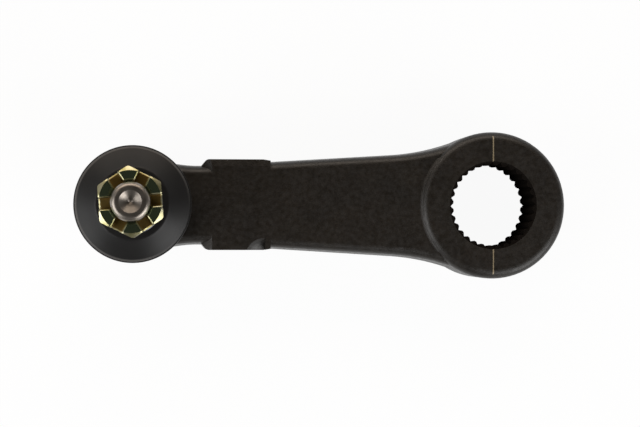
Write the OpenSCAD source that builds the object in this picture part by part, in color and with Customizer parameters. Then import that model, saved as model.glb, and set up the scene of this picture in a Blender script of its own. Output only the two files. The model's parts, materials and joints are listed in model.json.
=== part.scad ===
// Pitman arm: a forged steering lever with a serrated taper bore for the sector shaft at one end
// and a sealed ball joint, stud upwards, at the other. Millimetres, +Z along the stud.
// The origin is on the bore axis, in the bottom face of the boss. The ball joint lies towards -X.

/* [Arm] */
// Distance from the bore axis to the ball joint axis
arm_length = 136; // [130:1:145]
// Thickness of the web between the two ends
web_t = 27; // [25:0.5:27.5]
// Width of the web, its sides carried on to the bore axis
web_w_boss = 43.6; // [41.4:0.2:45]
// Width of the web, its sides carried on to the ball joint axis
web_w_joint = 26.9; // [25.5:0.2:27.7]
// Radius of the hollow curve that flares the web into the boss
boss_flare_r = 85; // [78:1:92]
// Radius of the hollow curve that flares the web into the socket
socket_flare_r = 50; // [46:1:54]
// Draft angle of the web's sides, either way from the parting plane
web_draft = 3.5; // [3:0.25:4.5]
// Edge radius of the web
web_round = 3.25; // [2.5:0.25:3.5]

/* [Boss] */
// Diameter of the boss
boss_d = 55.8; // [55:0.2:58]
// Height of the boss
boss_h = 30; // [29:0.5:32]
// Edge radius of the boss
boss_round = 3.5; // [3:0.25:4]
// Radius of the hollow blend from the web up to the boss
step_fillet = 2.5; // [2:0.25:2.75]

/* [Serrated bore] */
// Number of serrations
teeth = 32; // [30:1:36]
// Diameter over the groove roots at the large end of the taper
bore_d = 34.4; // [33.6:0.1:34.8]
// Length over which the bore narrows by one unit of diameter
taper_ratio = 16; // [14:1:20]
// Depth of a serration groove
tooth_depth = 1.05; // [0.8:0.05:1.2]
// Chamfer at both mouths of the bore
bore_chamfer = 0.7; // [0.6:0.1:1.2]
// Turn of the first groove from the arm's centre line
bore_clock = 1.5; // [0:0.25:11]
// Width of the two index marks across the boss face
mark_w = 0.5; // [0.3:0.05:0.8]

/* [Side pads] */
// Distance from the ball joint axis to the outer end of the pads
pad_start = 25.5; // [24.5:0.25:27]
// Length of the pads along the arm
pad_length = 26; // [24:0.5:28]
// Width of the arm over both pads
pad_w = 34.1; // [34:0.1:35]
// Radius of the ball cutter that scoops out one pad corner
scoop_r = 10; // [9:0.5:11]

/* [Socket] */
// Outside diameter of the socket
socket_d = 39; // [38.4:0.2:39.6]
// Height of the machined spigot above the web, which carries the boot
spigot_h = 5; // [4.8:0.1:5.4]
// Diameter of the spigot
spigot_d = 35; // [34.6:0.1:35.4]
// Diameter of the bearing bore
seat_bore_d = 30; // [29.8:0.1:30.2]

/* [Ball stud] */
// Ball diameter
ball_d = 25; // [24.6:0.1:25]
// Height of the ball centre
ball_z = 22.5; // [22.3:0.1:22.7]
// Diameter of the neck above the ball
neck_d = 13; // [12:0.25:13.2]
// Diameter at the large end of the stud's taper
stud_taper_d = 16.8; // [16.6:0.1:17]
// Thread diameter
thread_d = 14; // [13.6:0.1:14]
// Height of the stud tip
stud_top = 80.5; // [80:0.1:82]
// Mouth diameter of the centre-drilled hole in the tip
centre_hole_d = 8; // [6:0.25:8.5]
// Diameter of the split pin hole
pin_hole_d = 3.2; // [2.5:0.1:3.5]

/* [Castle nut] */
// Width across the flats
nut_af = 22; // [21:0.25:23]
// Height of the nut, crown included
nut_h = 16.5; // [15.5:0.25:16.6]
// Depth of the crown slots
slot_depth = 5.5; // [4:0.25:6]
// Width of the crown slots
slot_w = 4; // [3.2:0.1:4.5]

/* [Dust boot] */
// Diameter of the boot at its rim
boot_d = 43.7; // [43.1:0.2:44.7]
// Thickness of the boot wall
boot_wall = 2; // [1.6:0.1:2.2]

/* [Hidden] */
$fn = 128;

forged_black = "#26221f";
rubber_black = "#343332";
bright_steel = "#a9a69f";
yellow_zinc = "#b09a45";
bearing_white = "#dcd8cc";

// Overlap that makes blended solids cross instead of only touching
sink = 0.05;
// How far the corners of a drafted section are tucked into its edge rounds
tuck = 0.002;
// Running clearance of round faces that turn in one another
running = 0.05;
// Spare length of the cutting tools beyond the metal
over = 2;
// Pilot hole on the axis of both round ends, inside what the bores take away
pilot_r = 5;

part_z = boss_h / 2;
web_z0 = part_z - web_t / 2;
web_z1 = part_z + web_t / 2;
boss_r = boss_d / 2;
socket_r = socket_d / 2;
joint_x = -arm_length;

// Web sides: half width at the bore axis, and the angle that they close towards the joint
side_half = web_w_boss / 2;
side_slope = (web_w_boss - web_w_joint) / 2 / arm_length;
side_angle = atan(side_slope);
// Depth of the swept sections behind the web's outline, enough to reach past the centre plane
rail_depth = 30;

// One side of the web is laid out in a frame turned by the side angle about the bore axis, on
// whole thousandths, so that the straight edge and its two flares meet face to face
function thousandth(x) = round(1000 * x) / 1000;
side_v = thousandth(side_half * cos(side_angle));
boss_flare_v = side_v + boss_flare_r;
socket_flare_v = side_v + socket_flare_r;
socket_u = joint_x * cos(side_angle);
socket_v = -joint_x * sin(side_angle);
function flare_run(end_r, flare_r, v) = sqrt(pow(end_r + flare_r - sink, 2) - v * v);
boss_flare_u = thousandth(-flare_run(boss_r, boss_flare_r, boss_flare_v));
socket_flare_u = thousandth(socket_u + flare_run(socket_r, socket_flare_r, socket_flare_v - socket_v));
boss_flare_angle = atan(-boss_flare_u / boss_flare_v);
socket_flare_angle = atan((socket_flare_u - socket_u) / (socket_flare_v - socket_v));

// Step blend: its sweep about the bore axis, how deep it is sunk, and the cones that fade it out
blend_spread = 110;
blend_sink = 1;
blend_fade = 5;
blend_slope = 1.2;

// Edge round on a drafted side: how far its centre lies behind the parting line
function round_inset(height, r, draft) = (r + (height - r) * sin(draft)) / cos(draft);

// Serrated bore, its mouths a little wider than the groove roots, and the index marks
mouth_extra = 0.4;
mark_depth = 0.15;
mark_end_gap = 1.4;
bore_half_taper = atan(1 / taper_ratio / 2);
root_r0 = bore_d / 2;
tip_r0 = root_r0 - tooth_depth;
function bore_r_at(r0, z) = r0 - z / taper_ratio / 2;

// Pads
pad_x0 = joint_x + pad_start;
pad_x1 = pad_x0 + pad_length;
pad_ramp_h = 2.4;
pad_ramp_angle = 50;
pad_corner_r = 2;
pad_run_out = 2.6;
pad_bevel_w = 2.4;
pad_bevel_h = 0.4;
pad_bevel_past = 0.3;
pad_nose_w = 1.6;
pad_nose_h = 1;
scoop_back = 2;
scoop_out = 3.2;
scoop_up = 0.63 * scoop_r;
cut_block = 10;

// Socket
spigot_top = web_z1 + spigot_h;
socket_round = 2;
spigot_chamfer = 0.6;
seat_shoulder_z = ball_z + 3;
seat_top_z = ball_z + 6.8;
throat_r = 11.4;
mouth_r = 12.9;
cover_z0 = 1.5;
cover_t = 2.5;
cover_r = 16.2;
cover_dish = 1;
cover_flat = 5.5;
cover_slope = 2;
lip_r = 14.6;
groove_z0 = web_z1 + 1;
groove_z1 = web_z1 + 3.4;
groove_depth = 1;

// Bearing
ball_r = ball_d / 2;
seat_r = seat_bore_d / 2;
seat_gap = 0.6;
spring_t = 1.5;
spring_cone = 1.6;
spring_r0 = 7;
spring_r1 = 14.2;
lower_seat_z0 = cover_z0 + cover_t + spring_t + spring_cone + 2 * running;
seat_drain_r = 4;
seat_top_gap = 0.3;
seat_cone_h = 12;
seat_cone_r0 = 6;
seat_cone_r1 = 17;

// Ball stud
neck_top_z = ball_z + 15;
collar_z0 = ball_z + 18;
collar_z1 = ball_z + 22.7;
collar_r = stud_taper_d / 2;
stud_taper_ratio = 8;
taper_z0 = collar_z1 + 0.5;
taper_z1 = ball_z + 39.3;
taper_r1 = collar_r - (taper_z1 - taper_z0) / stud_taper_ratio / 2;
thread_r = thread_d / 2;
tip_round = 2;
centre_half_angle = 50;
pin_drop = 0.4;

// Castle nut
nut_z0 = taper_z1 + 0.2;
nut_z1 = nut_z0 + nut_h;
nut_corner_r = nut_af / sqrt(3);
nut_chamfer_r = 0.97 * nut_af / 2;
nut_chamfer_angle = 30;
nut_turn = 4;
nut_thread_chamfer = 1;

// Dust boot
boot_r = boot_d / 2;
boot_gap = 0.1;
boot_base_z0 = groove_z0 + boot_gap;
boot_base_z1 = groove_z1 - boot_gap;
boot_base_r0 = spigot_d / 2 - groove_depth + running;
boot_base_r1 = 20;
boot_rim_z = web_z1 + 6;
boot_rim_round = 1.3;
boot_lip_z0 = collar_z0 + 0.4;
boot_lip_z1 = collar_z1 - 0.3;
boot_lip_r0 = collar_r + running;
boot_lip_r1 = 10.6;
boot_shelf_r = 13.8;
boot_shelf_h = 0.1;
ring_wire = 1.2;
lower_ring_z = (boot_base_z0 + boot_base_z1) / 2;
upper_ring_z = (boot_lip_z0 + boot_lip_z1) / 2;

// Section of a forged edge: drafted both ways from the parting line at x = 0, rounded at the two
// heights, and reaching back by depth
module edge_section(depth, z0, z1, r, draft) {
    inset_top = round_inset(z1 - part_z, r, draft);
    inset_low = round_inset(part_z - z0, r, draft);
    reach = draft > 0 ? r - tuck : r;
    side = [reach * cos(draft), reach * sin(draft)];
    polygon([[-depth, z0], [-inset_low, z0], [-inset_low, z0 + r],
             [side.x - inset_low, z0 + r - side.y], [0, part_z],
             [side.x - inset_top, z1 - r + side.y], [-inset_top, z1 - r],
             [-inset_top, z1], [-depth, z1]]);
    translate([-inset_top, z1 - r]) circle(r);
    translate([-inset_low, z0 + r]) circle(r);
}

// Round end with straight sides and the same rounded edges
module forged_round(r, z0, z1, edge_r) {
    rotate_extrude() translate([r, 0]) edge_section(r - pilot_r, z0, z1, edge_r, 0);
}

// Section of the web's edge
module web_edge() {
    edge_section(rail_depth, web_z0, web_z1, web_round, web_draft);
}

// Edge of the web along one flare, from the straight side on
module flare_rail(r, angle) {
    rotate(-90) rotate_extrude(angle = angle) translate([r, 0]) mirror([1, 0]) web_edge();
}

// Edge of the web along one side: a flare, the straight and the other flare
module side_rail() {
    rotate(side_angle) {
        translate([socket_flare_u, side_v]) rotate([90, 0, 90])
            linear_extrude(boss_flare_u - socket_flare_u) web_edge();
        translate([boss_flare_u, boss_flare_v]) flare_rail(boss_flare_r, boss_flare_angle);
        translate([socket_flare_u, socket_flare_v]) mirror([1, 0])
            flare_rail(socket_flare_r, socket_flare_angle);
    }
}

// Web: two mirrored halves that meet in the centre plane
module web() {
    for (side = [0, 1]) mirror([0, side]) intersection() {
        side_rail();
        translate([joint_x - boss_d, 0, 0]) cube([arm_length + 2 * boss_d, boss_d, boss_h]);
    }
}

// Hollow blend between the web's face and the boss, on the side towards the joint, fading out
// before the web's rounded edges
module step_blend() {
    round_r = boss_r - boss_round;
    round_z = boss_h - boss_round;
    hollow_z = web_z1 + step_fillet;
    reach = boss_round + step_fillet;
    hollow_r = round_r + sqrt(reach * reach - pow(hollow_z - round_z, 2));
    foot_z = min(web_z1, round_z) - blend_sink;
    fade_r = boss_flare_r + round_inset(web_t / 2, web_round, web_draft) - blend_sink;
    fade_z = web_z1 - blend_sink - 2 * sink;
    difference() {
        rotate(180 - blend_spread / 2) rotate_extrude(angle = blend_spread) difference() {
            polygon([[round_r, foot_z], [hollow_r, foot_z], [hollow_r, hollow_z], [round_r, round_z]]);
            translate([hollow_r, hollow_z - sink]) circle(step_fillet);
        }
        for (side = [0, 1]) mirror([0, side])
            rotate(side_angle) translate([boss_flare_u, boss_flare_v]) rotate_extrude()
                polygon([[0, foot_z - over], [fade_r, foot_z - over], [fade_r, fade_z],
                         [fade_r + blend_fade * blend_slope, fade_z + blend_fade],
                         [0, fade_z + blend_fade]]);
    }
}

// Outline of a side pad from the centre line out: a ramp with a round corner, then a short run-out
module pad_outline() {
    y_web = side_half + side_slope * pad_x1;
    y_pad = pad_w / 2;
    reach = pad_corner_r - tuck;
    ramp_top = pad_ramp_h - pad_corner_r * (1 - cos(pad_ramp_angle));
    corner = [pad_x0 + ramp_top / tan(pad_ramp_angle) + pad_corner_r * sin(pad_ramp_angle),
              y_pad - pad_corner_r];
    polygon([[pad_x0, 0], [pad_x0, y_pad - pad_ramp_h],
             corner + reach * [-sin(pad_ramp_angle), cos(pad_ramp_angle)], corner, [corner.x, y_pad],
             [pad_x1 - pad_run_out, y_pad], [pad_x1, y_web], [pad_x1, 0]]);
    translate(corner) circle(pad_corner_r);
}

// Raised side pad with bevelled noses over its ramp
module side_pad() {
    difference() {
        translate([0, 0, web_z0]) linear_extrude(web_t) pad_outline();
        for (end = [0, 1]) translate([0, 0, part_z]) mirror([0, 0, end])
            translate([pad_x0 + pad_ramp_h + pad_nose_w, 0, web_t / 2])
                rotate([0, atan(pad_nose_w / pad_nose_h), 0])
                    translate([-cut_block, -over, -cut_block]) cube([cut_block, pad_w, 2 * cut_block]);
    }
}

// Long bevel along the outer edge of one pad
module pad_bevel() {
    translate([pad_x0 - over, pad_w / 2 - pad_bevel_w, web_z1])
        rotate([-atan(pad_bevel_h / pad_bevel_w), 0, 0])
            cube([over + pad_length + pad_bevel_past, cut_block, cut_block]);
}

// Ball-cut hollow at the corner of the other pad, square at its inner end
module pad_scoop() {
    x1 = pad_x1 - scoop_back;
    intersection() {
        translate([x1, -pad_w / 2 - scoop_out, web_z1 + scoop_up]) sphere(scoop_r);
        translate([x1 - 2 * scoop_r, -pad_w, 0]) cube([2 * scoop_r, pad_w, 2 * boss_h]);
    }
}

// Taper bore with V-shaped serrations and chamfered mouths
module serrated_bore() {
    z0 = -over;
    z1 = boss_h + over;
    low_r = root_r0 + mouth_extra;
    top_r = bore_r_at(root_r0, boss_h) + mouth_extra;
    translate([0, 0, z0]) cylinder(h = z1 - z0, r1 = bore_r_at(tip_r0, z0), r2 = bore_r_at(tip_r0, z1));
    for (k = [0 : teeth - 1]) rotate(bore_clock + k * 360 / teeth)
        translate([bore_r_at(root_r0, z0), 0, z0]) rotate([0, -bore_half_taper, 0])
            linear_extrude(z1 - z0 + 1)
                polygon([[0, 0], [-2 * tooth_depth, 2 * tooth_depth], [-2 * tooth_depth, -2 * tooth_depth]]);
    translate([0, 0, -over])
        cylinder(h = over + bore_chamfer, r1 = low_r + over, r2 = low_r - bore_chamfer);
    translate([0, 0, boss_h - bore_chamfer])
        cylinder(h = over + bore_chamfer, r1 = top_r - bore_chamfer, r2 = top_r + over);
}

// Index marks cut across the boss face, square to the arm
module index_marks() {
    for (side = [-1, 1])
        translate([-mark_w / 2, side > 0 ? root_r0 - over : -boss_r, boss_h - mark_depth])
            cube([mark_w, boss_r - root_r0 + over - mark_end_gap, over]);
}

// Turned inside of the socket: cover recess, bearing bore, shoulder and the flared mouth
module socket_bore() {
    rotate_extrude()
        polygon([[0, -over], [lip_r, -over], [lip_r, cover_z0], [cover_r, cover_z0],
                 [cover_r, cover_z0 + cover_t], [seat_r, cover_z0 + cover_t],
                 [seat_r, seat_shoulder_z], [throat_r, seat_top_z], [mouth_r, spigot_top],
                 [mouth_r + over / 2, spigot_top + over], [0, spigot_top + over]]);
}

// Spigot with the groove that holds the boot
module boot_spigot() {
    rotate_extrude()
        polygon([[0, part_z], [spigot_d / 2, part_z], [spigot_d / 2, groove_z0],
                 [spigot_d / 2 - groove_depth, groove_z0], [spigot_d / 2 - groove_depth, groove_z1],
                 [spigot_d / 2, groove_z1], [spigot_d / 2, spigot_top - spigot_chamfer],
                 [spigot_d / 2 - spigot_chamfer, spigot_top], [0, spigot_top]]);
}

module arm() {
    color(forged_black) difference() {
        union() {
            union() {
                forged_round(boss_r, 0, boss_h, boss_round);
                web();
                step_blend();
            }
            for (side = [0, 1]) mirror([0, side]) side_pad();
            translate([joint_x, 0]) {
                forged_round(socket_r, 0, web_z1, socket_round);
                boot_spigot();
            }
        }
        serrated_bore();
        index_marks();
        pad_bevel();
        pad_scoop();
        translate([joint_x, 0]) socket_bore();
    }
}

// Pressed cover, dished inwards, that closes the socket from below
module end_cover() {
    r = cover_r - running;
    z0 = cover_z0 + running;
    z1 = cover_z0 + cover_t - running;
    color(forged_black) translate([joint_x, 0]) rotate_extrude()
        polygon([[0, z0 + cover_dish], [r - cover_flat - cover_slope, z0 + cover_dish], [r - cover_flat, z0],
                 [r, z0], [r, z1], [r - cover_flat + 1, z1],
                 [r - cover_flat + 1 - cover_slope, z1 + cover_dish], [0, z1 + cover_dish]]);
}

// Disc spring between the cover and the lower seat
module preload_spring() {
    z0 = cover_z0 + cover_t + running;
    color(bright_steel) translate([joint_x, 0]) rotate_extrude()
        polygon([[spring_r1, z0], [spring_r1, z0 + spring_t], [spring_r0, z0 + spring_t + spring_cone],
                 [spring_r0, z0 + spring_cone]]);
}

// Half bearing under the ball
module lower_seat() {
    color(bearing_white) translate([joint_x, 0]) difference() {
        translate([0, 0, lower_seat_z0])
            cylinder(h = ball_z - seat_gap / 2 - lower_seat_z0, r = seat_r - running);
        translate([0, 0, ball_z]) sphere(ball_r + running);
        translate([0, 0, lower_seat_z0 - over]) cylinder(h = ball_r, r = seat_drain_r);
    }
}

// Half bearing above the ball, under the socket's shoulder
module upper_seat() {
    r = seat_r - running;
    color(bearing_white) translate([joint_x, 0]) difference() {
        rotate_extrude()
            polygon([[0, ball_z + seat_gap / 2], [r, ball_z + seat_gap / 2], [r, seat_shoulder_z - running],
                     [throat_r + seat_gap / 3, seat_top_z - seat_top_gap], [0, seat_top_z - seat_top_gap]]);
        translate([0, 0, ball_z]) sphere(ball_r + running);
        translate([0, 0, ball_z]) cylinder(h = seat_cone_h, r1 = seat_cone_r0, r2 = seat_cone_r1);
    }
}

// Ball stud: ball, neck, collar under the boot lip, taper, thread core diameter and drilled tip
module ball_stud() {
    hole_depth = centre_hole_d / 2 / tan(centre_half_angle);
    pin_z = nut_z1 - slot_depth / 2 - pin_drop;
    tip_z = stud_top - tip_round;
    color(bright_steel) translate([joint_x, 0]) difference() {
        union() {
            translate([0, 0, ball_z]) sphere(ball_r);
            rotate_extrude() {
                polygon([[0, ball_z], [neck_d / 2, ball_z], [neck_d / 2, neck_top_z], [collar_r, collar_z0],
                         [collar_r, taper_z0], [taper_r1, taper_z1], [thread_r, taper_z1],
                         [thread_r, tip_z], [thread_r - tip_round, tip_z],
                         [thread_r - tip_round, stud_top], [0, stud_top]]);
                translate([thread_r - tip_round, tip_z]) circle(tip_round);
            }
        }
        translate([0, 0, stud_top - hole_depth])
            cylinder(h = 2 * hole_depth, r1 = 0, r2 = centre_hole_d);
        translate([0, 0, pin_z]) rotate(nut_turn) rotate([90, 0, 0])
            cylinder(h = 2 * thread_d, d = pin_hole_d, center = true);
    }
}

// Castle nut: six slots through the flats leave a crown at the corners
module castle_nut() {
    chamfer_h = (nut_corner_r - nut_chamfer_r) * tan(nut_chamfer_angle);
    bore_r = thread_r + running;
    color(yellow_zinc) translate([joint_x, 0, nut_z0]) rotate(nut_turn) difference() {
        intersection() {
            rotate(30) cylinder(h = nut_h, r = nut_corner_r, $fn = 6);
            rotate_extrude()
                polygon([[0, 0], [nut_chamfer_r, 0], [nut_corner_r, chamfer_h],
                         [nut_corner_r, nut_h - chamfer_h], [nut_chamfer_r, nut_h], [0, nut_h]]);
        }
        translate([0, 0, -over]) cylinder(h = nut_h + 2 * over, r = bore_r);
        for (end = [0, 1]) translate([0, 0, end * nut_h]) mirror([0, 0, end])
            translate([0, 0, -over])
                cylinder(h = over + nut_thread_chamfer, r1 = bore_r + over + nut_thread_chamfer, r2 = bore_r);
        for (k = [0 : 2]) rotate(k * 60)
            translate([-nut_af, -slot_w / 2, nut_h - slot_depth])
                cube([2 * nut_af, slot_w, slot_depth + over]);
    }
}

// Bell-shaped rubber boot: a base in the socket's groove, a round rim, a cone up to a flat shelf, and a
// lip on the stud
module dust_boot() {
    rim_x = boot_r - boot_rim_round;
    color(rubber_black) translate([joint_x, 0]) difference() {
        rotate_extrude() {
            polygon([[boot_base_r0, boot_base_z0], [boot_base_r1, boot_base_z0], [boot_base_r1, boot_base_z1],
                     [boot_r, boot_rim_z], [rim_x, boot_rim_z + boot_rim_round],
                     [boot_shelf_r, boot_lip_z0 + boot_shelf_h],
                     [boot_lip_r1, boot_lip_z0 + boot_shelf_h], [boot_lip_r1, boot_lip_z1],
                     [boot_lip_r0, boot_lip_z1], [boot_lip_r0, boot_lip_z0],
                     [boot_lip_r1 - boot_wall / 2, boot_lip_z0], [rim_x - boot_wall, boot_rim_z],
                     [boot_base_r1 - boot_wall, boot_base_z1 + boot_gap], [boot_base_r0, boot_base_z1]]);
            translate([rim_x, boot_rim_z]) circle(boot_rim_round);
        }
        boot_ring_groove(boot_base_r1, lower_ring_z);
        boot_ring_groove(boot_lip_r1, upper_ring_z);
    }
}

// Round groove for a wire ring, half as deep as the wire
module boot_ring_groove(r, z) {
    rotate_extrude() translate([r, z]) circle(ring_wire / 2 + running);
}

module wire_ring(r, z) {
    color(bright_steel) translate([joint_x, 0]) rotate_extrude() translate([r, z]) circle(ring_wire / 2);
}

module lower_boot_ring() {
    wire_ring(boot_base_r1, lower_ring_z);
}

module upper_boot_ring() {
    wire_ring(boot_lip_r1, upper_ring_z);
}

arm();
end_cover();
preload_spring();
lower_seat();
upper_seat();
ball_stud();
castle_nut();
dust_boot();
lower_boot_ring();
upper_boot_ring();
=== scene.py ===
"""Looks of a pitman arm: a black forged lever with a serrated bore, and a booted ball joint with its
stud and castle nut. Lengths are millimetres until a mesh is made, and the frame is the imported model's."""

import json
import math

import bmesh
import bpy
import numpy as np
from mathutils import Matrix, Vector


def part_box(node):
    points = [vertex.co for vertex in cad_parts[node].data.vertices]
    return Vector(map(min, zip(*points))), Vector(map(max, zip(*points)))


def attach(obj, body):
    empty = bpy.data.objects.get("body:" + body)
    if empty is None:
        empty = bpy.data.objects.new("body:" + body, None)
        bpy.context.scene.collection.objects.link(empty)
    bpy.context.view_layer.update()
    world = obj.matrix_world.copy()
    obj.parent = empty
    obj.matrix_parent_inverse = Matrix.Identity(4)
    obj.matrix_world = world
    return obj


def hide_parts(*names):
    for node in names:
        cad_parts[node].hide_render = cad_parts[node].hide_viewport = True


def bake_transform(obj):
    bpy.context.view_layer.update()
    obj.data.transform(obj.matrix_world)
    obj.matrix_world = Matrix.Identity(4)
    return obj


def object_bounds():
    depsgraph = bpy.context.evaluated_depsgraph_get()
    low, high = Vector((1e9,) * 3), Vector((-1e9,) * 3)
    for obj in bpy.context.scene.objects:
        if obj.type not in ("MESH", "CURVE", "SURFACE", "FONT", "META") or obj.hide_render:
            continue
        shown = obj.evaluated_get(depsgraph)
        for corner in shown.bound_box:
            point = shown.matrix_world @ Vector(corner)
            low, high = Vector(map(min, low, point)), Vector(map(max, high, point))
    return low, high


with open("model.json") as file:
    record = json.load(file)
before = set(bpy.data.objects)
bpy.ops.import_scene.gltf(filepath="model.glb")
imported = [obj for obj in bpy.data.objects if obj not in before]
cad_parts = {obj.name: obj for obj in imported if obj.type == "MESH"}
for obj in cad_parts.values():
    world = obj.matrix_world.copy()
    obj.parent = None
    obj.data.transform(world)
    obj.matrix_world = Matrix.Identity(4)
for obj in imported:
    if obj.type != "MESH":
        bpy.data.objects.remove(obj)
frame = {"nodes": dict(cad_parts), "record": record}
cad_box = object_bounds()

MM = 0.001
TURN = 2 * np.pi

# Points nearer than this are one point, and edges that bend more than this stay crisp
MERGE = 0.0005
CRISP = math.radians(25)


def corners_mm(node):
    """Lowest and highest corner of a CAD node, in millimetres."""
    low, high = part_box(node)
    return np.array(low) / MM, np.array(high) / MM


# Places taken from the frame
NUT_LOW, NUT_HIGH = corners_mm("castle_nut")
BOOT_LOW, BOOT_HIGH = corners_mm("dust_boot")
JOINT_X = (BOOT_LOW[0] + BOOT_HIGH[0]) / 2
BOSS_TOP = next(m["pos_m"][2] for m in frame["record"]["mounts"] if m["name"] == "boss_top") / MM

# Castle nut: its corners are blunt, and a narrow broken edge runs along slots, crown and flats
NUT_SIDES = 6
NUT_FLAT_COLUMNS = 7
NUT_FLATS = 22.0
NUT_CORNER_R = 12.48
NUT_TURN = math.radians(4)
NUT_BORE_R = 7.05
NUT_SLOT_W = 4.0
NUT_SLOT_DEPTH = 5.5
NUT_SLOT_FILLET = 0.4
NUT_CHAMFER_R = 10.95
NUT_CHAMFER_SLOPE = math.tan(math.radians(30))
NUT_THREAD_CHAMFER = 1.0
NUT_EDGE = 0.6
NUT_BRIM = 0.45
NUT_WAIST_DROP = 1.0
# Shares of the way along crown, chamfer and flat at which the nut's rows and columns lie
NUT_FLAT_END = 0.877
NUT_TOP_SHARES = (0.08, 0.5, 0.94, 1.0)
NUT_BEVEL_SHARES = (0.06, 0.5, 1.0)
NUT_SIDE_SHARE = 0.08
# Least height difference that tells the crown from its broken edge
NUT_STEP = 0.001

# Dust boot, from the socket's groove up: base, rim with its ledge and shoulder, cone, shelf, lip
BOOT_COLUMNS = 160
BOOT_WALL = 2.0
BOOT_SPIGOT_R = 16.55
BOOT_BASE_R = 20.0
BOOT_BASE_BREAK = 0.4
BOOT_GROOVE_H = 2.2
BOOT_GROOVE_LEAD = 0.1
BOOT_RIM_H = 4.9
BOOT_RIM_ROUND = 1.3
# Places on the rim, out and up from the centre of its rounding
BOOT_LEDGE = np.array([0.98, 0.31])
BOOT_LEDGE_ROUND = 0.3
BOOT_LEDGE_FOOT = np.array([0.8, 0.62])
BOOT_SHOULDER = np.array([0.2, 0.78])
BOOT_SHOULDER_ROUND = 0.6
# The cone leaves the shoulder and meets the shelf square to this direction, in degrees
BOOT_CONE_NORMAL = 54
BOOT_CONE_ROWS = 24
BOOT_CONE_HOLLOW = 0.25
BOOT_SHELF_R = 13.8
BOOT_SHELF_H = 0.1
BOOT_SHELF_ROUND = 1.4
BOOT_SHELF_INSET = 0.8
BOOT_LIP_R = 10.6
BOOT_LIP_H = 4.0
BOOT_LIP_FILLET = 0.7
BOOT_LIP_ROUND = 0.5
BOOT_LIP_WALL = 1.0
BOOT_STUD_R = 8.45
BOOT_STUD_ROUND = 0.4
# Painted highlight, a light grey line along the rim's shoulder: its rows, and the direction of the side left
# without it
BOOT_HIGHLIGHT_ROWS = 6
BOOT_HIGHLIGHT_GAIN = 2
BOOT_HIGHLIGHT_TURN = math.radians(17)

# Index marks across the boss face, and the serrated bore, which narrows upwards
MARK_W = 0.5
MARK_END_R = 26.2
MARK_DROP = 1.5
BORE_MOUTH_R = 17.62
BORE_TAPER = 1 / 32

# Floor, in metres, and the share of plain white in it, as the camera and mirrors see it
FLOOR_HALF = 3.0
FLOOR_GAP = 0.0002
FLOOR_WHITE = 0.94

# What the lamps point at, in metres
LAMP_AIM = np.array([-0.06, 0.0, 0.03])

# Camera, fitted to the photograph: place in metres, turn in radians, lens and sensor in millimetres
CAMERA_AT = (-0.12336, -0.01211, 0.69599)
CAMERA_TURN = (0.0131, -0.0859, 0.0011)
CAMERA_LENS = 100
CAMERA_SENSOR = 36


def linear(code):
    """An sRGB hex colour as linear red, green, blue and alpha."""
    channels = np.array([int(code[i : i + 2], 16) for i in (1, 3, 5)]) / 255
    curve = np.where(channels <= 0.04045, channels / 12.92, ((channels + 0.055) / 1.055) ** 2.4)
    return (*curve.tolist(), 1.0)


def add(tree, kind, inputs=None, **settings):
    """Adds a node with its settings. Inputs map a socket to a value, or to the output that feeds it."""
    node = tree.nodes.new(kind)
    for name, value in settings.items():
        setattr(node, name, value)
    for socket, value in (inputs or {}).items():
        if isinstance(value, bpy.types.NodeSocket):
            tree.links.new(value, node.inputs[socket])
        else:
            node.inputs[socket].default_value = value
    return node


def start_material(name):
    """A material with a shader and the output it feeds: returns material, node tree and shader."""
    material = bpy.data.materials.new(name)
    material.use_nodes = True
    tree = material.node_tree
    tree.nodes.clear()
    shader = add(tree, "ShaderNodeBsdfPrincipled")
    add(tree, "ShaderNodeOutputMaterial", {"Surface": shader.outputs["BSDF"]})
    return material, tree, shader


def feed_output(tree, socket):
    """Puts another shader on the material's output."""
    output = next(n for n in tree.nodes if n.type == "OUTPUT_MATERIAL")
    tree.links.new(socket, output.inputs["Surface"])


def per_mm(size):
    """Texture scale for a feature of that size in millimetres, on coordinates in metres."""
    return 1 / (size * MM)


def all_of(tree, tests):
    """One where every test holds. A test is a value, a comparison and a limit."""
    held = [add(tree, "ShaderNodeMath", {0: value, 1: limit}, operation=kind).outputs["Value"]
            for value, kind, limit in tests]
    product = held[0]
    for test in held[1:]:
        product = add(tree, "ShaderNodeMath", {0: product, 1: test}, operation="MULTIPLY").outputs["Value"]
    return product


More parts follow.
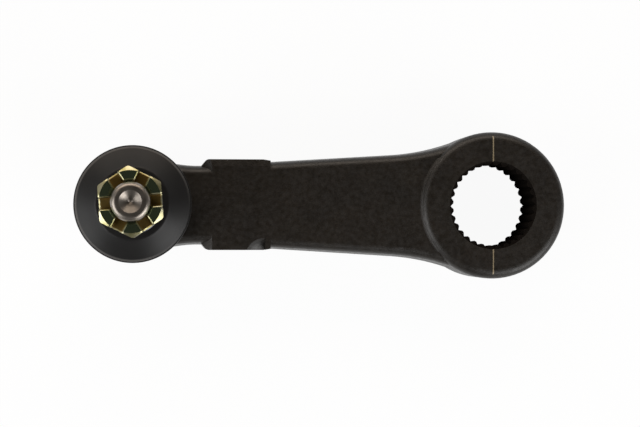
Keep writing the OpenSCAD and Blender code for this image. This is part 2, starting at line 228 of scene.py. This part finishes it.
def forged_black_paint():
    """Steel, hammer forged and dip painted: near-black brown, half matt, with the scale's fine grain
    showing through the thin paint. The index marks are scribed through to tan primer, and the broached
    bore is bare of paint, dark and dull with old oil."""
    material, tree, shader = start_material("forged_steel_black_dip_paint")
    place = add(tree, "ShaderNodeTexCoord").outputs["Object"]
    grain = add(tree, "ShaderNodeTexNoise", {"Vector": place, "Scale": per_mm(0.55), "Detail": 3.0,
                                             "Roughness": 0.6})
    scale_pits = add(tree, "ShaderNodeTexNoise", {"Vector": place, "Scale": per_mm(1.7), "Detail": 4.0})
    mottle = add(tree, "ShaderNodeTexNoise", {"Vector": place, "Scale": per_mm(14), "Detail": 3.0})

    paint = add(tree, "ShaderNodeValToRGB", {"Fac": mottle.outputs["Fac"]})
    paint.color_ramp.elements[0].position = 0.3
    paint.color_ramp.elements[0].color = linear("#15110c")
    paint.color_ramp.elements[1].position = 0.72
    paint.color_ramp.elements[1].color = linear("#1c1711")
    speckle = add(tree, "ShaderNodeMapRange", {"Value": grain.outputs["Fac"],
                                               "From Min": 0.35, "From Max": 0.7,
                                               "To Min": 0.7, "To Max": 1.45})
    speckled = add(tree, "ShaderNodeVectorMath", {0: paint.outputs["Color"],
                                                  "Scale": speckle.outputs["Result"]}, operation="SCALE")

    axes = add(tree, "ShaderNodeSeparateXYZ", {"Vector": place})
    across = add(tree, "ShaderNodeMath", {0: axes.outputs["X"]}, operation="ABSOLUTE")
    flat = add(tree, "ShaderNodeVectorMath", {0: place, 1: (1.0, 1.0, 0.0)}, operation="MULTIPLY")
    radius = add(tree, "ShaderNodeVectorMath", {0: flat.outputs["Vector"]}, operation="LENGTH")
    scribed = all_of(tree, [(across.outputs["Value"], "LESS_THAN", MARK_W / 2 * MM),
                            (radius.outputs["Value"], "LESS_THAN", MARK_END_R * MM),
                            (axes.outputs["Z"], "GREATER_THAN", (BOSS_TOP - MARK_DROP) * MM)])
    cone = add(tree, "ShaderNodeMath", {0: axes.outputs["Z"], 1: BORE_TAPER, 2: radius.outputs["Value"]},
               operation="MULTIPLY_ADD")
    in_bore = all_of(tree, [(cone.outputs["Value"], "LESS_THAN", BORE_MOUTH_R * MM)])

    marked = add(tree, "ShaderNodeMix", {"Factor": scribed, 6: speckled.outputs["Vector"],
                                         7: linear("#94876e")}, data_type="RGBA")
    gloss = add(tree, "ShaderNodeMapRange", {"Value": scale_pits.outputs["Fac"],
                                             "From Min": 0.3, "From Max": 0.7,
                                             "To Min": 0.36, "To Max": 0.52})
    heights = add(tree, "ShaderNodeMath", {0: scale_pits.outputs["Fac"], 1: grain.outputs["Fac"]},
                  operation="ADD")
    bump = add(tree, "ShaderNodeBump", {"Height": heights.outputs["Value"], "Strength": 0.5,
                                        "Distance": 0.05 * MM})
    tree.links.new(marked.outputs[2], shader.inputs["Base Color"])
    tree.links.new(gloss.outputs["Result"], shader.inputs["Roughness"])
    tree.links.new(bump.outputs["Normal"], shader.inputs["Normal"])
    shader.inputs["IOR"].default_value = 1.45

    broached = add(tree, "ShaderNodeBsdfPrincipled", {"Base Color": linear("#161311"), "Roughness": 0.9,
                                                      "Specular IOR Level": 0.0})
    finish = add(tree, "ShaderNodeMixShader", {"Fac": in_bore, 1: shader.outputs["BSDF"],
                                               2: broached.outputs["BSDF"]})
    feed_output(tree, finish.outputs["Shader"])
    return material


def moulded_rubber():
    """Chloroprene rubber, compression moulded: charcoal with a satin skin that goes soft at grazing light,
    and a painted highlight, a light grey line, along the shoulder of the rim."""
    material, tree, shader = start_material("chloroprene_rubber_moulded")
    place = add(tree, "ShaderNodeTexCoord").outputs["Object"]
    skin = add(tree, "ShaderNodeTexNoise", {"Vector": place, "Scale": per_mm(0.8), "Detail": 3.0})
    bloom = add(tree, "ShaderNodeTexNoise", {"Vector": place, "Scale": per_mm(9), "Detail": 3.0})
    tint = add(tree, "ShaderNodeMix", {"Factor": bloom.outputs["Fac"], 6: linear("#100f0f"),
                                       7: linear("#161514")}, data_type="RGBA")
    gloss = add(tree, "ShaderNodeMapRange", {"Value": bloom.outputs["Fac"], "To Min": 0.4, "To Max": 0.5})
    bump = add(tree, "ShaderNodeBump", {"Height": skin.outputs["Fac"], "Strength": 0.25,
                                        "Distance": 0.02 * MM})
    # Painted highlight: a light grey line mixed in along the rim's shoulder, where the boot sets its
    # attribute
    painted_rim_highlight = add(tree, "ShaderNodeAttribute", attribute_name="painted_rim_highlight").outputs["Fac"]
    highlighted = add(tree, "ShaderNodeMix", {"Factor": painted_rim_highlight, 6: tint.outputs[2], 7: linear("#4a4846")},
               data_type="RGBA")
    tree.links.new(highlighted.outputs[2], shader.inputs["Base Color"])
    tree.links.new(gloss.outputs["Result"], shader.inputs["Roughness"])
    tree.links.new(bump.outputs["Normal"], shader.inputs["Normal"])
    shader.inputs["IOR"].default_value = 1.52
    shader.inputs["Specular IOR Level"].default_value = 0.27
    return material


def yellow_zinc_plate():
    """Steel, zinc plated and yellow chromate passivated: a bright metal with a gold film that drifts
    towards olive, over the marks of cold forming, drawn coarser than real ones so that they show. The
    faced crown is smooth and green, and the slots are coloured a darker brown and are rougher."""
    material, tree, shader = start_material("yellow_zinc_plated_steel")
    place = add(tree, "ShaderNodeTexCoord").outputs["Object"]
    film = add(tree, "ShaderNodeTexNoise", {"Vector": place, "Scale": per_mm(3.5), "Detail": 3.0})
    gold = add(tree, "ShaderNodeValToRGB", {"Fac": film.outputs["Fac"]})
    gold.color_ramp.elements[0].position = 0.32
    gold.color_ramp.elements[0].color = linear("#918c5b")
    gold.color_ramp.elements[1].position = 0.68
    gold.color_ramp.elements[1].color = linear("#beb99a")
    marks = add(tree, "ShaderNodeTexNoise", {"Vector": place, "Scale": per_mm(0.5), "Detail": 2.0})
    bump = add(tree, "ShaderNodeBump", {"Height": marks.outputs["Fac"], "Strength": 0.08,
                                        "Distance": 0.02 * MM})
    crown = add(tree, "ShaderNodeAttribute", attribute_name="crown_film").outputs["Fac"]
    slots = add(tree, "ShaderNodeAttribute", attribute_name="slot_brown").outputs["Fac"]
    green = add(tree, "ShaderNodeMix", {"Factor": crown, 6: gold.outputs["Color"], 7: linear("#8b9c79")},
                data_type="RGBA")
    brown = add(tree, "ShaderNodeMix", {"Factor": slots, 6: green.outputs[2], 7: linear("#7f6a3c")},
                data_type="RGBA")
    forged = add(tree, "ShaderNodeMapRange", {"Value": marks.outputs["Fac"], "To Min": 0.28, "To Max": 0.4})
    faced = add(tree, "ShaderNodeMix", {"Factor": crown, 2: forged.outputs["Result"], 3: 0.27},
                data_type="FLOAT")
    gloss = add(tree, "ShaderNodeMix", {"Factor": slots, 2: faced.outputs[0], 3: 0.5}, data_type="FLOAT")
    tree.links.new(brown.outputs[2], shader.inputs["Base Color"])
    tree.links.new(gloss.outputs[0], shader.inputs["Roughness"])
    tree.links.new(bump.outputs["Normal"], shader.inputs["Normal"])
    shader.inputs["Metallic"].default_value = 1.0
    return material


def turned_steel():
    """Alloy steel, turned and lightly oiled: grey metal with fine rings about the stud's axis, drawn
    coarser than a real feed so that they show."""
    material, tree, shader = start_material("alloy_steel_turned")
    place = add(tree, "ShaderNodeTexCoord").outputs["Object"]
    centred = add(tree, "ShaderNodeMapping", {"Vector": place, "Location": (-JOINT_X * MM, 0.0, 0.0)})
    rings = add(tree, "ShaderNodeTexWave", {"Vector": centred.outputs["Vector"],
                                            "Scale": per_mm(0.5) / TURN, "Distortion": 1.5, "Detail": 2.0},
                wave_type="RINGS", rings_direction="Z")
    stain = add(tree, "ShaderNodeTexNoise", {"Vector": place, "Scale": per_mm(4), "Detail": 3.0})
    tint = add(tree, "ShaderNodeMix", {"Factor": stain.outputs["Fac"], 6: linear("#766f68"),
                                       7: linear("#9d958c")}, data_type="RGBA")
    gloss = add(tree, "ShaderNodeMapRange", {"Value": stain.outputs["Fac"], "To Min": 0.3, "To Max": 0.42})
    bump = add(tree, "ShaderNodeBump", {"Height": rings.outputs["Fac"], "Strength": 0.15,
                                        "Distance": 0.02 * MM})
    tree.links.new(tint.outputs[2], shader.inputs["Base Color"])
    tree.links.new(gloss.outputs["Result"], shader.inputs["Roughness"])
    tree.links.new(bump.outputs["Normal"], shader.inputs["Normal"])
    shader.inputs["Metallic"].default_value = 1.0
    return material


def spring_wire():
    """Spring steel, drawn and tempered: blue-grey metal, a little uneven."""
    material, tree, shader = start_material("spring_steel_tempered")
    place = add(tree, "ShaderNodeTexCoord").outputs["Object"]
    temper = add(tree, "ShaderNodeTexNoise", {"Vector": place, "Scale": per_mm(6), "Detail": 2.0})
    tint = add(tree, "ShaderNodeMix", {"Factor": temper.outputs["Fac"], 6: linear("#5d5f63"),
                                       7: linear("#86858a")}, data_type="RGBA")
    gloss = add(tree, "ShaderNodeMapRange", {"Value": temper.outputs["Fac"], "To Min": 0.3, "To Max": 0.45})
    tree.links.new(tint.outputs[2], shader.inputs["Base Color"])
    tree.links.new(gloss.outputs["Result"], shader.inputs["Roughness"])
    shader.inputs["Metallic"].default_value = 1.0
    return material


def moulded_acetal():
    """Acetal, injection moulded: ivory, satin, with a faint flow pattern."""
    material, tree, shader = start_material("acetal_moulded")
    place = add(tree, "ShaderNodeTexCoord").outputs["Object"]
    flow = add(tree, "ShaderNodeTexNoise", {"Vector": place, "Scale": per_mm(10), "Detail": 2.0})
    tint = add(tree, "ShaderNodeMix", {"Factor": flow.outputs["Fac"], 6: linear("#d9d4c6"),
                                       7: linear("#e4e0d4")}, data_type="RGBA")
    tree.links.new(tint.outputs[2], shader.inputs["Base Color"])
    shader.inputs["Roughness"].default_value = 0.38
    shader.inputs["IOR"].default_value = 1.48
    return material


def paper_floor():
    """White paper sweep. What the camera and mirrors see of it is mostly plain white, and the rest of
    its colour takes the soft shadow under the object."""
    material, tree, shader = start_material("white_paper_sweep")
    shader.inputs["Base Color"].default_value = linear("#f6f6f6")
    shader.inputs["Roughness"].default_value = 0.9
    shader.inputs["Specular IOR Level"].default_value = 0.1
    path = add(tree, "ShaderNodeLightPath")
    seen = add(tree, "ShaderNodeMath", {0: path.outputs["Is Camera Ray"], 1: path.outputs["Is Glossy Ray"]},
               operation="MAXIMUM")
    share = add(tree, "ShaderNodeMath", {0: seen.outputs["Value"], 1: FLOOR_WHITE}, operation="MULTIPLY")
    glow = add(tree, "ShaderNodeEmission", {"Color": (1.0, 1.0, 1.0, 1.0), "Strength": 1.0})
    both = add(tree, "ShaderNodeMixShader", {"Fac": share.outputs["Value"], 1: shader.outputs["BSDF"],
                                             2: glow.outputs["Emission"]})
    feed_output(tree, both.outputs["Shader"])
    return material


def grid_piece(name, points, material, point_values=None):
    """A closed surface from a grid of points in millimetres, rows by columns, that wraps both ways.

    Each cell of the grid is one quad. Coincident points are merged, which closes poles, and the faces
    are turned outwards. Point values are numbers at the points, by name, which the material reads: films and
    a painted highlight."""
    rows, columns = points.shape[:2]
    index = np.arange(rows * columns).reshape(rows, columns)
    right = np.roll(index, -1, axis=1)
    up = np.roll(index, -1, axis=0)
    diagonal = np.roll(up, -1, axis=1)
    quads = np.stack([index, right, diagonal, up], axis=-1).reshape(-1, 4)
    mesh = bpy.data.meshes.new(name)
    mesh.from_pydata(points.reshape(-1, 3) * MM, [], quads.tolist())
    for film, values in (point_values or {}).items():
        mesh.attributes.new(film, "FLOAT", "POINT").data.foreach_set("value", values.ravel())
    shape = bmesh.new()
    shape.from_mesh(mesh)
    bmesh.ops.remove_doubles(shape, verts=shape.verts, dist=MERGE * MM)
    bmesh.ops.recalc_face_normals(shape, faces=shape.faces)
    shape.to_mesh(mesh)
    shape.free()
    mesh.shade_smooth()
    mesh.set_sharp_from_angle(angle=CRISP)
    mesh.materials.append(material)
    piece = bpy.data.objects.new(name, mesh)
    bpy.context.scene.collection.objects.link(piece)
    return piece


def arc(centre, radius, start, stop, steps):
    """Points of a circular arc in the section plane, angles in degrees from the outward direction."""
    angle = np.radians(np.linspace(start, stop, steps))
    return np.array(centre) + radius * np.stack([np.cos(angle), np.sin(angle)], axis=-1)


def turned(section, columns):
    """A section of radius and height, turned about the ball joint's axis: rows by columns of points."""
    angle = np.arange(columns) * TURN / columns
    radius, height = section[:, :1], section[:, 1:]
    return np.stack([JOINT_X + radius * np.cos(angle), radius * np.sin(angle),
                     height + 0 * angle], axis=-1)


def dust_boot(material):
    """The boot: a closed section, turned about the joint's axis.

    The section runs out from the socket's groove, up a short skirt to the rim with its narrow ledge, in
    along a cone that hollows by a half sine to a flat shelf, up and over the lip, and back along the inner
    wall. The rim's shoulder carries a painted highlight, a light grey line, all round but for the side
    towards the arm, by a cosine of the angle."""
    base_z = BOOT_LOW[2]
    top_z = BOOT_HIGH[2]
    lip_z = top_z - BOOT_LIP_H
    groove_top = base_z + BOOT_GROOVE_H
    shelf_z = lip_z + BOOT_SHELF_H
    rim_at = np.array([BOOT_HIGH[0] - JOINT_X - BOOT_RIM_ROUND, base_z + BOOT_RIM_H])
    base = np.array([[BOOT_SPIGOT_R, base_z], [BOOT_BASE_R - BOOT_BASE_BREAK, base_z],
                     [BOOT_BASE_R, base_z + BOOT_BASE_BREAK], [BOOT_BASE_R, groove_top]])
    rim = np.vstack([arc(rim_at, BOOT_RIM_ROUND, start=-30, stop=10, steps=8),
                     arc(rim_at + BOOT_LEDGE, BOOT_LEDGE_ROUND, start=20, stop=85, steps=5),
                     [rim_at + BOOT_LEDGE_FOOT],
                     arc(rim_at + BOOT_SHOULDER, BOOT_SHOULDER_ROUND, start=-15, stop=BOOT_CONE_NORMAL,
                         steps=9)])
    shelf = np.vstack([arc((BOOT_SHELF_R - BOOT_SHELF_INSET, shelf_z - BOOT_SHELF_ROUND), BOOT_SHELF_ROUND,
                           start=BOOT_CONE_NORMAL, stop=90, steps=7),
                       arc((BOOT_LIP_R + BOOT_LIP_FILLET, shelf_z + BOOT_LIP_FILLET), BOOT_LIP_FILLET,
                           start=270, stop=180, steps=6)])
    along = np.linspace(0, 1, BOOT_CONE_ROWS + 2)[1:-1, None]
    cone = rim[-1] + (shelf[0] - rim[-1]) * along
    cone[:, 1:] -= BOOT_CONE_HOLLOW * np.sin(np.pi * along)
    lip = np.vstack([arc((BOOT_LIP_R - BOOT_LIP_ROUND, top_z - BOOT_LIP_ROUND), BOOT_LIP_ROUND,
                         start=0, stop=90, steps=5),
                     arc((BOOT_STUD_R + BOOT_STUD_ROUND, top_z - BOOT_STUD_ROUND), BOOT_STUD_ROUND,
                         start=90, stop=180, steps=5)])
    inner = np.array([[BOOT_STUD_R, lip_z], [BOOT_LIP_R - BOOT_LIP_WALL, lip_z],
                      [rim_at[0] - BOOT_WALL, rim_at[1]],
                      [BOOT_BASE_R - BOOT_WALL, groove_top + BOOT_GROOVE_LEAD], [BOOT_SPIGOT_R, groove_top]])
    section = np.vstack([base, rim, cone, shelf, lip, inner])
    angle = np.arange(BOOT_COLUMNS) * TURN / BOOT_COLUMNS
    painted_rim_highlight = np.zeros((len(section), BOOT_COLUMNS))
    shoulder = len(base) + len(rim)
    # Painted highlight along the rim's shoulder, strongest away from the arm and none on the side towards it
    highlight_share = BOOT_HIGHLIGHT_GAIN * (1 - np.cos(angle + BOOT_HIGHLIGHT_TURN))
    painted_rim_highlight[shoulder - BOOT_HIGHLIGHT_ROWS : shoulder + 1] = np.clip(highlight_share, 0, 1)
    boot = grid_piece("boot_shell", turned(section, BOOT_COLUMNS), material, {"painted_rim_highlight": painted_rim_highlight})
    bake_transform(boot)
    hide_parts("dust_boot")


def nut_columns():
    """The columns of one sixth of the nut: inner and outer plan points, and the height of the top.

    Columns run along the slot's floor, up its wall, round the crown's edge and on to the corner, which is
    drawn in to its blunt radius, on one side of the slot, and are mirrored for the other. The local x axis
    points along the slot."""
    half = NUT_SLOT_W / 2
    crown = NUT_HIGH[2]
    floor = crown - NUT_SLOT_DEPTH
    bend = np.radians(np.linspace(0, 90, 5))
    level = half - NUT_SLOT_FILLET
    lateral = np.vstack([[[0.0, floor], [level / 2, floor]],
                         np.stack([level + NUT_SLOT_FILLET * np.sin(bend),
                                   floor + NUT_SLOT_FILLET * (1 - np.cos(bend))], axis=-1),
                         np.stack([half + NUT_EDGE * (1 - np.cos(bend)),
                                   crown - NUT_EDGE * (1 - np.sin(bend))], axis=-1)])
    edge = half + NUT_EDGE
    share = np.append(np.linspace(0, NUT_FLAT_END, NUT_FLAT_COLUMNS + 1)[1:], 1)
    flat = NUT_FLATS / 2
    half_angle = TURN / NUT_SIDES / 2
    inner_y = np.concatenate([lateral[:, 0], edge + share * (NUT_BORE_R * math.sin(half_angle) - edge)])
    outer_y = np.concatenate([lateral[:, 0], edge + share * (flat * math.tan(half_angle) - edge)])
    tops = np.concatenate([lateral[:, 1], np.full(len(share), crown)])
    inner = np.stack([np.sqrt(NUT_BORE_R**2 - inner_y**2), inner_y], axis=-1)
    outer = np.stack([np.full(len(outer_y), flat), outer_y], axis=-1)
    outer *= np.minimum(1, NUT_CORNER_R / np.linalg.norm(outer, axis=-1, keepdims=True))
    mirrored = np.array([1, -1])
    inner = np.vstack([inner[:0:-1] * mirrored, inner])[1:]
    outer = np.vstack([outer[:0:-1] * mirrored, outer])[1:]
    tops = np.concatenate([tops[:0:-1], tops])[1:]
    return inner, outer, tops


def reach(inner, outer, radius):
    """Share of the way from inner to outer plan points at which a radius is met, from the quadratic."""
    step = outer - inner
    a = (step**2).sum(-1)
    b = (inner * step).sum(-1)
    c = (inner**2).sum(-1) - radius**2
    return np.clip((-b + np.sqrt(np.maximum(b**2 - a * c, 0))) / a, 0, 1)


def castle_nut(material):
    """The nut: a grid of plan columns by a section that goes up the bore, over the top and down the side.

    Every column's section starts in the bore and goes straight out to the hexagon. The top's height is
    the slot's floor or the crown, cut by the cones of the two corner chamfers and the thread chamfers."""
    inner, outer, tops = nut_columns()
    low, high = NUT_LOW[2], NUT_HIGH[2]

    def plan(share):
        return inner + share[:, None] * (outer - inner)

    def row(share, height):
        return np.concatenate([plan(share), height[:, None]], axis=-1)

    none = np.zeros(len(tops))
    whole = none + 1
    sink = np.clip(tops - (high - NUT_THREAD_CHAMFER), 0, None)
    mouth = reach(inner, outer, NUT_BORE_R + sink)
    foot = reach(inner, outer, NUT_BORE_R + NUT_THREAD_CHAMFER)
    brim = whole - NUT_BRIM / np.linalg.norm(outer - inner, axis=-1)
    chamfer = np.minimum(reach(inner, outer, NUT_CHAMFER_R), brim)
    spread = np.linalg.norm(plan(whole), axis=-1) - NUT_CHAMFER_R
    brim_spread = np.linalg.norm(plan(brim), axis=-1) - NUT_CHAMFER_R
    shoulder = np.minimum(tops - NUT_BRIM * NUT_CHAMFER_SLOPE, high - spread * NUT_CHAMFER_SLOPE)
    brim_top = np.minimum(tops, high - brim_spread * NUT_CHAMFER_SLOPE)
    skirt = none + low + spread * NUT_CHAMFER_SLOPE
    waist = none + high - NUT_SLOT_DEPTH - NUT_WAIST_DROP

    bore = [row(none, none + low + NUT_THREAD_CHAMFER), row(none, waist), row(none, tops - sink)]
    top = [row(mouth, tops)]
    top += [row(mouth + (chamfer - mouth) * s, tops) for s in NUT_TOP_SHARES]
    bevel = [row(chamfer + (brim - chamfer) * s, tops + (brim_top - tops) * s) for s in NUT_BEVEL_SHARES]
    side = [row(whole, shoulder), row(whole, shoulder + (waist - shoulder) * NUT_SIDE_SHARE),
            row(whole, waist), row(whole, skirt), row(chamfer, none + low), row(foot, none + low)]
    sixth = np.array(bore + top + bevel + side)
    chamfer_row = len(bore) + len(top) - 1
    brim_row = chamfer_row + len(bevel)
    crown_film = np.zeros(sixth.shape[:2])
    crown_film[:chamfer_row] = tops > high - NUT_STEP
    slot_brown = np.zeros(sixth.shape[:2])
    # Slot floors and walls are coloured a darker brown
    slot_brown[len(bore) : brim_row] = tops < high - NUT_EDGE - NUT_STEP
    point_values = {"crown_film": np.tile(crown_film, NUT_SIDES), "slot_brown": np.tile(slot_brown, NUT_SIDES)}

    turn = np.arange(NUT_SIDES)[:, None] * TURN / NUT_SIDES + NUT_TURN
    x, y, z = (sixth[:, None, :, k] for k in range(3))
    points = np.stack([JOINT_X + x * np.cos(turn) - y * np.sin(turn), x * np.sin(turn) + y * np.cos(turn),
                       z + 0 * turn], axis=-1)
    nut = grid_piece("castle_nut_body", points.reshape(len(sixth), -1, 3), material, point_values)
    nut.modifiers.new("even_faces", "WEIGHTED_NORMAL").keep_sharp = True
    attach(nut, "stud")
    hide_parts("castle_nut")


def dress(node, material):
    """Gives a CAD node its material."""
    slots = frame["nodes"][node].data.materials
    slots.clear()
    slots.append(material)


def softbox(name, azimuth, elevation, distance, size, radiance, tint):
    """A rectangular lamp that faces the middle of the object, placed by two angles in degrees and a
    distance in metres. Its power gives the panel that radiance."""
    turn, rise = math.radians(azimuth), math.radians(elevation)
    away = np.array([math.cos(turn) * math.cos(rise), math.sin(turn) * math.cos(rise), math.sin(rise)])
    lamp = bpy.data.lights.new(name, "AREA")
    lamp.shape = "RECTANGLE"
    lamp.size, lamp.size_y = size
    lamp.energy = radiance * math.pi * size[0] * size[1]
    lamp.color = linear(tint)[:3]
    holder = bpy.data.objects.new(name, lamp)
    holder.location = LAMP_AIM + distance * away
    holder.rotation_euler = (math.pi / 2 - rise, 0, turn + math.pi / 2)
    bpy.context.scene.collection.objects.link(holder)


def studio():
    """Pale floor, dim surroundings, soft panels and the camera."""
    mesh = bpy.data.meshes.new("floor")
    level = cad_box[0][2] - FLOOR_GAP
    mesh.from_pydata([(-FLOOR_HALF, -FLOOR_HALF, level), (FLOOR_HALF, -FLOOR_HALF, level),
                      (FLOOR_HALF, FLOOR_HALF, level), (-FLOOR_HALF, FLOOR_HALF, level)], [], [(0, 1, 2, 3)])
    mesh.materials.append(paper_floor())
    floor = bpy.data.objects.new("floor", mesh)
    bpy.context.scene.collection.objects.link(floor)

    world = bpy.data.worlds.new("studio")
    world.use_nodes = True
    tree = world.node_tree
    tree.nodes.clear()
    direction = add(tree, "ShaderNodeTexCoord").outputs["Generated"]
    height = add(tree, "ShaderNodeSeparateXYZ", {"Vector": direction}).outputs["Z"]
    room = add(tree, "ShaderNodeValToRGB", {"Fac": height})
    room.color_ramp.elements[0].position = 0.25
    room.color_ramp.elements[0].color = linear("#787878")
    room.color_ramp.elements[1].position = 0.85
    room.color_ramp.elements[1].color = linear("#202020")
    path = add(tree, "ShaderNodeLightPath")
    shade = add(tree, "ShaderNodeMix", {"Factor": path.outputs["Is Camera Ray"], 6: room.outputs["Color"],
                                        7: (1.0, 1.0, 1.0, 1.0)}, data_type="RGBA")
    sky = add(tree, "ShaderNodeBackground", {"Color": shade.outputs[2], "Strength": 1.0})
    add(tree, "ShaderNodeOutputWorld", {"Surface": sky.outputs["Background"]})
    bpy.context.scene.world = world

    softbox("right_panel", azimuth=-45, elevation=30, distance=0.9, size=(0.62, 0.62), radiance=5.0,
            tint="#ffffff")
    softbox("left_panel", azimuth=200, elevation=33, distance=0.9, size=(0.68, 0.6), radiance=4.0,
            tint="#ffffff")
    softbox("back_panel", azimuth=97, elevation=32, distance=1.0, size=(1.5, 0.5), radiance=2.9,
            tint="#fff1e2")

    camera = bpy.data.cameras.new("camera")
    camera.lens = CAMERA_LENS
    camera.sensor_width = CAMERA_SENSOR
    holder = bpy.data.objects.new("camera", camera)
    holder.location = CAMERA_AT
    holder.rotation_euler = CAMERA_TURN
    bpy.context.scene.collection.objects.link(holder)
    bpy.context.scene.camera = holder
    bpy.context.scene.view_settings.view_transform = "Standard"


black = forged_black_paint()
steel = turned_steel()
spring = spring_wire()
acetal = moulded_acetal()
dress("arm", black)
dress("end_cover", black)
dress("ball_stud", steel)
dress("preload_spring", spring)
dress("lower_boot_ring", spring)
dress("upper_boot_ring", spring)
dress("lower_seat", acetal)
dress("upper_seat", acetal)
dust_boot(moulded_rubber())
castle_nut(yellow_zinc_plate())
studio()
